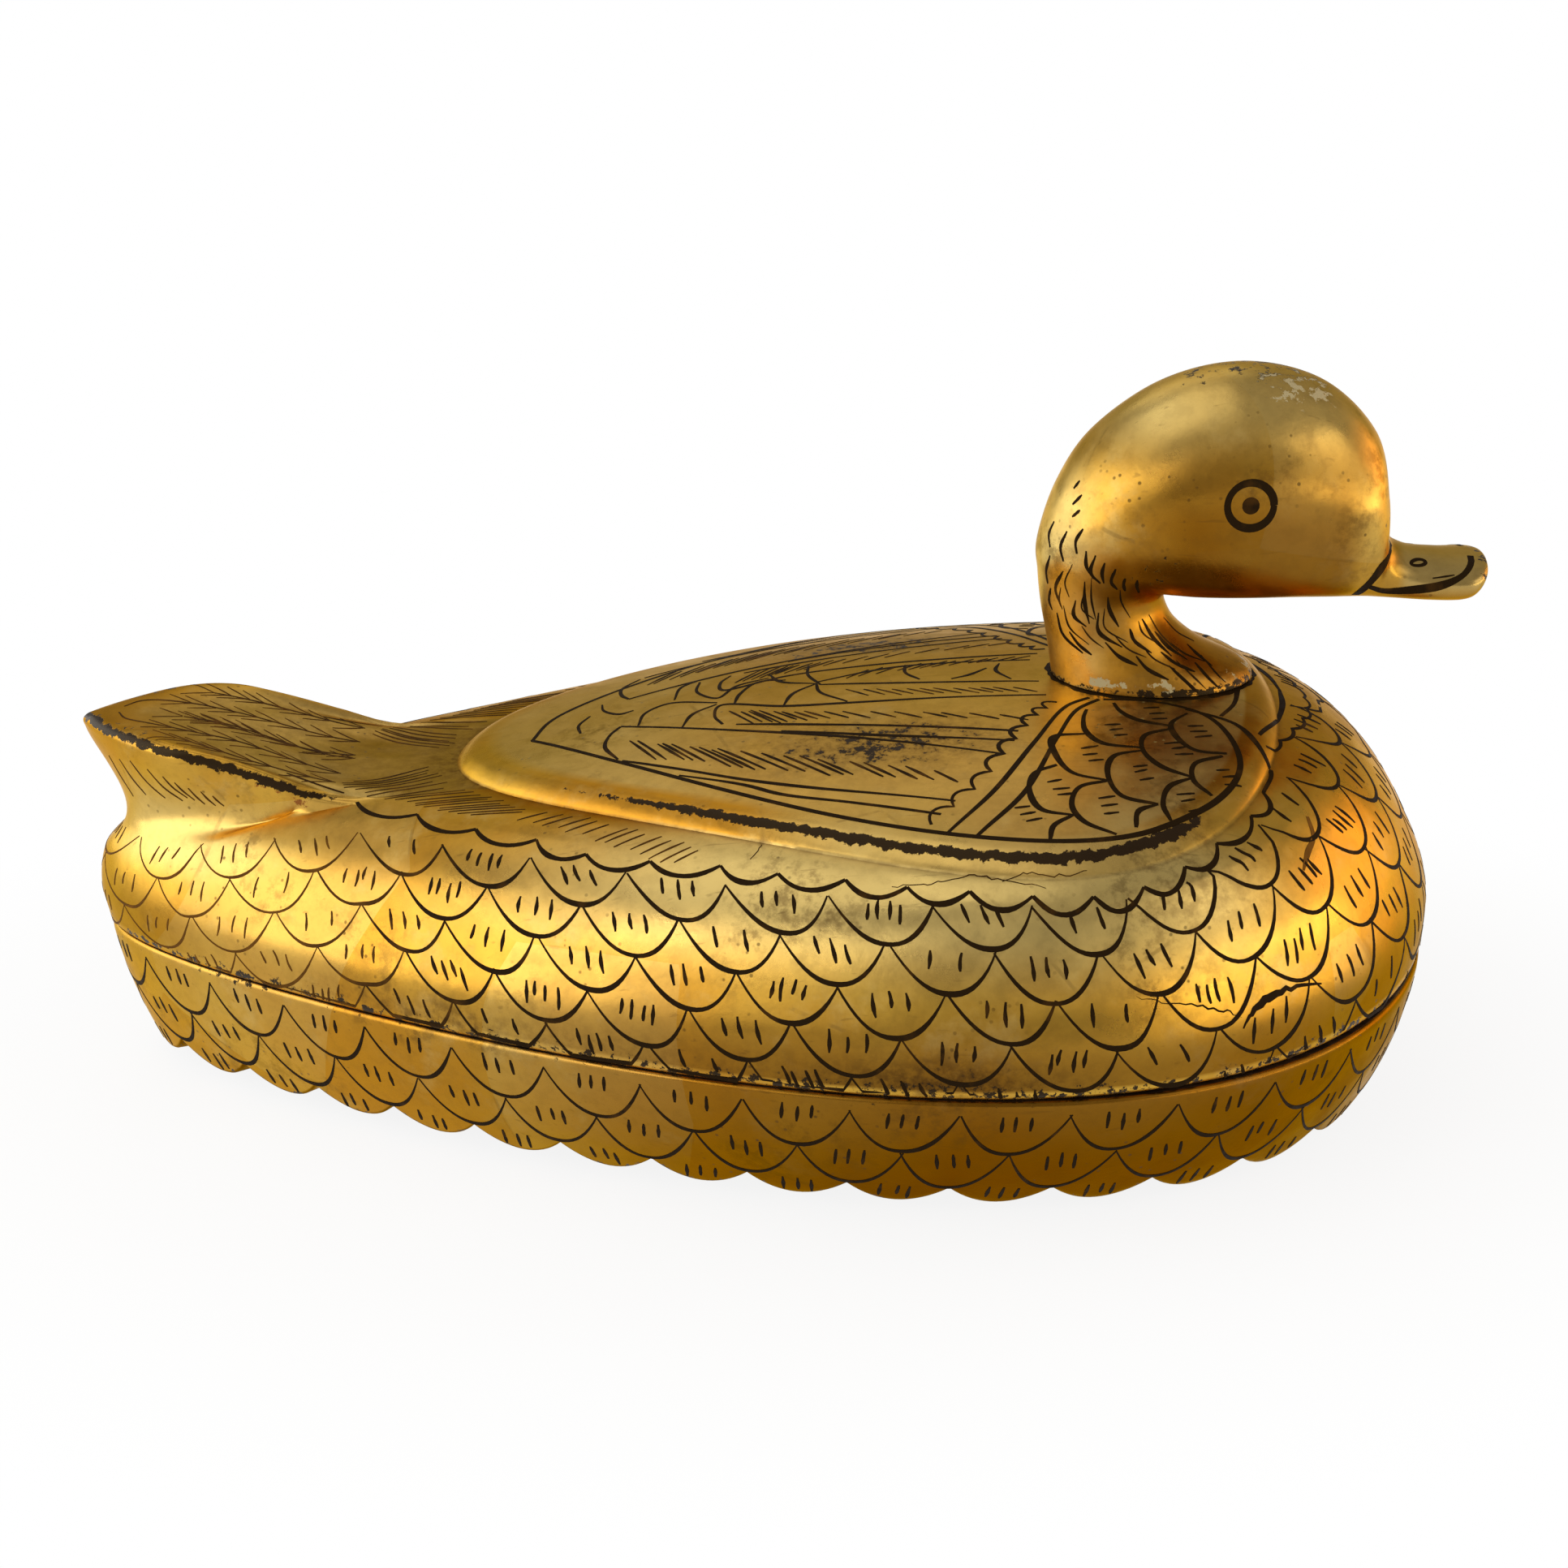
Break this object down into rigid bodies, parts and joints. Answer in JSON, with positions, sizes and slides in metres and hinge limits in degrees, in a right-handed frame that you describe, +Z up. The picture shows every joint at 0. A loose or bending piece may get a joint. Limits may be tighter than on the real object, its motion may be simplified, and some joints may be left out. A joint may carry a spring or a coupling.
{
  "type": "duck-shaped lidded box",
  "caption": "Gilt lacquered wooden box shaped as a resting duck: a scalloped lower bowl and a lift-off upper body with raised wings, upturned tail and pegged head.",
  "frame": {"origin": "middle of the body outline on the underside of the bottom board, on the surface the box stands on", "axes": "+X towards the bill, +Y towards the duck's left, +Z up"},
  "size_m": [0.3105, 0.1858, 0.1588],
  "materials": {
    "gilt_lacquer": "burnished gold leaf on black lacquer, with brush-drawn black feather lines",
    "black_lacquer": "brown-black lacquer, satin",
    "bare_wood": "bare hardwood"
  },
  "bodies": {
    "base": {"base_bowl": "gilt_lacquer", "bottom_board": "black_lacquer", "locating_lip": "black_lacquer"},
    "lid": {"lid_shell": "gilt_lacquer", "head_and_neck": "gilt_lacquer", "neck_peg": "bare_wood"}
  },
  "joints": [
    {"name": "lid_lift", "type": "slide", "parent": "base", "child": "lid", "axis": [0, 0, 1], "range_m": [0, 0.12]}
  ]
}
